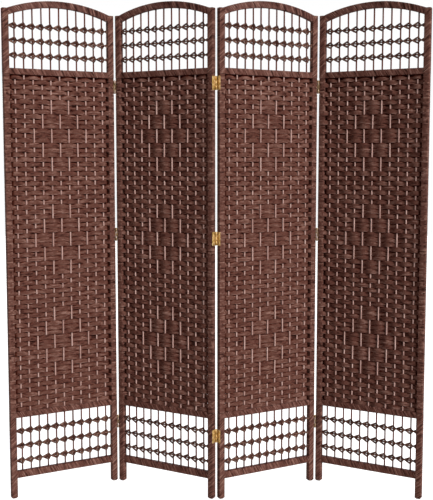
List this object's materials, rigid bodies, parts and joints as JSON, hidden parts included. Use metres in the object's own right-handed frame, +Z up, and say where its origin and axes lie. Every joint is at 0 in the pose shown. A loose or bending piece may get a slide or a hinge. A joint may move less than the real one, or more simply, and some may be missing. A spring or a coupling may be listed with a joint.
{
  "type": "woven folding screen",
  "caption": "Folding room screen with arched panels of diamond-figured fibre weave between open stick lattices, joined by butt hinges and standing in a zigzag.",
  "frame": {"origin": "middle of the zigzag's outline on the floor, on the line of the middle seam", "axes": "+Z up, +X to the viewer's right along the screen, +Y away from the viewer"},
  "size_m": [1.526, 0.227, 1.825],
  "materials": {
    "core_wood": "stained softwood lath",
    "bound_fibre": "wound twisted paper fibre, satin",
    "stick_wood": "stained thin rod",
    "weft_fibre": "flat bundles of twisted paper fibre, satin",
    "cord_fibre": "knotted paper cord",
    "hinge_brass": "plated, slightly dull"
  },
  "bodies": {
    "panel_1": {"left_stile_1": "core_wood", "right_stile_1": "core_wood", "stile_wraps_1": "bound_fibre", "arch_rail_1": "bound_fibre", "upper_rail_1": "bound_fibre", "lower_rail_1": "bound_fibre", "bottom_rail_1": "bound_fibre", "warp_sticks_1": "stick_wood", "weave_1": "weft_fibre", "upper_fitching_1": "cord_fibre", "lower_fitching_1": "cord_fibre", "hinge_leaf_1_right": "hinge_brass", "hinge_pins_12": "hinge_brass"},
    "panel_2": {"left_stile_2": "core_wood", "right_stile_2": "core_wood", "stile_wraps_2": "bound_fibre", "arch_rail_2": "bound_fibre", "upper_rail_2": "bound_fibre", "lower_rail_2": "bound_fibre", "bottom_rail_2": "bound_fibre", "warp_sticks_2": "stick_wood", "weave_2": "weft_fibre", "upper_fitching_2": "cord_fibre", "lower_fitching_2": "cord_fibre", "hinge_leaf_2_left": "hinge_brass", "hinge_leaf_2_right": "hinge_brass", "hinge_pins_23": "hinge_brass"},
    "panel_3": {"left_stile_3": "core_wood", "right_stile_3": "core_wood", "stile_wraps_3": "bound_fibre", "arch_rail_3": "bound_fibre", "upper_rail_3": "bound_fibre", "lower_rail_3": "bound_fibre", "bottom_rail_3": "bound_fibre", "warp_sticks_3": "stick_wood", "weave_3": "weft_fibre", "upper_fitching_3": "cord_fibre", "lower_fitching_3": "cord_fibre", "hinge_leaf_3_left": "hinge_brass", "hinge_leaf_3_right": "hinge_brass", "hinge_pins_34": "hinge_brass"},
    "panel_4": {"left_stile_4": "core_wood", "right_stile_4": "core_wood", "stile_wraps_4": "bound_fibre", "arch_rail_4": "bound_fibre", "upper_rail_4": "bound_fibre", "lower_rail_4": "bound_fibre", "bottom_rail_4": "bound_fibre", "warp_sticks_4": "stick_wood", "weave_4": "weft_fibre", "upper_fitching_4": "cord_fibre", "lower_fitching_4": "cord_fibre", "hinge_leaf_4_left": "hinge_brass"}
  },
  "joints": [
    {"name": "fold_12", "type": "hinge", "parent": "panel_2", "child": "panel_1", "pos_m": [-0.38445, 0.09973, 0], "axis": [0, 0, 1], "range_deg": [-60.4, 119.6]},
    {"name": "fold_23", "type": "hinge", "parent": "panel_2", "child": "panel_3", "pos_m": [0, -0.09973, 0], "axis": [0, 0, 1], "range_deg": [-60.4, 119.6]},
    {"name": "fold_34", "type": "hinge", "parent": "panel_3", "child": "panel_4", "pos_m": [0.38445, 0.09973, 0], "axis": [0, 0, 1], "range_deg": [-119.6, 60.4]}
  ]
}
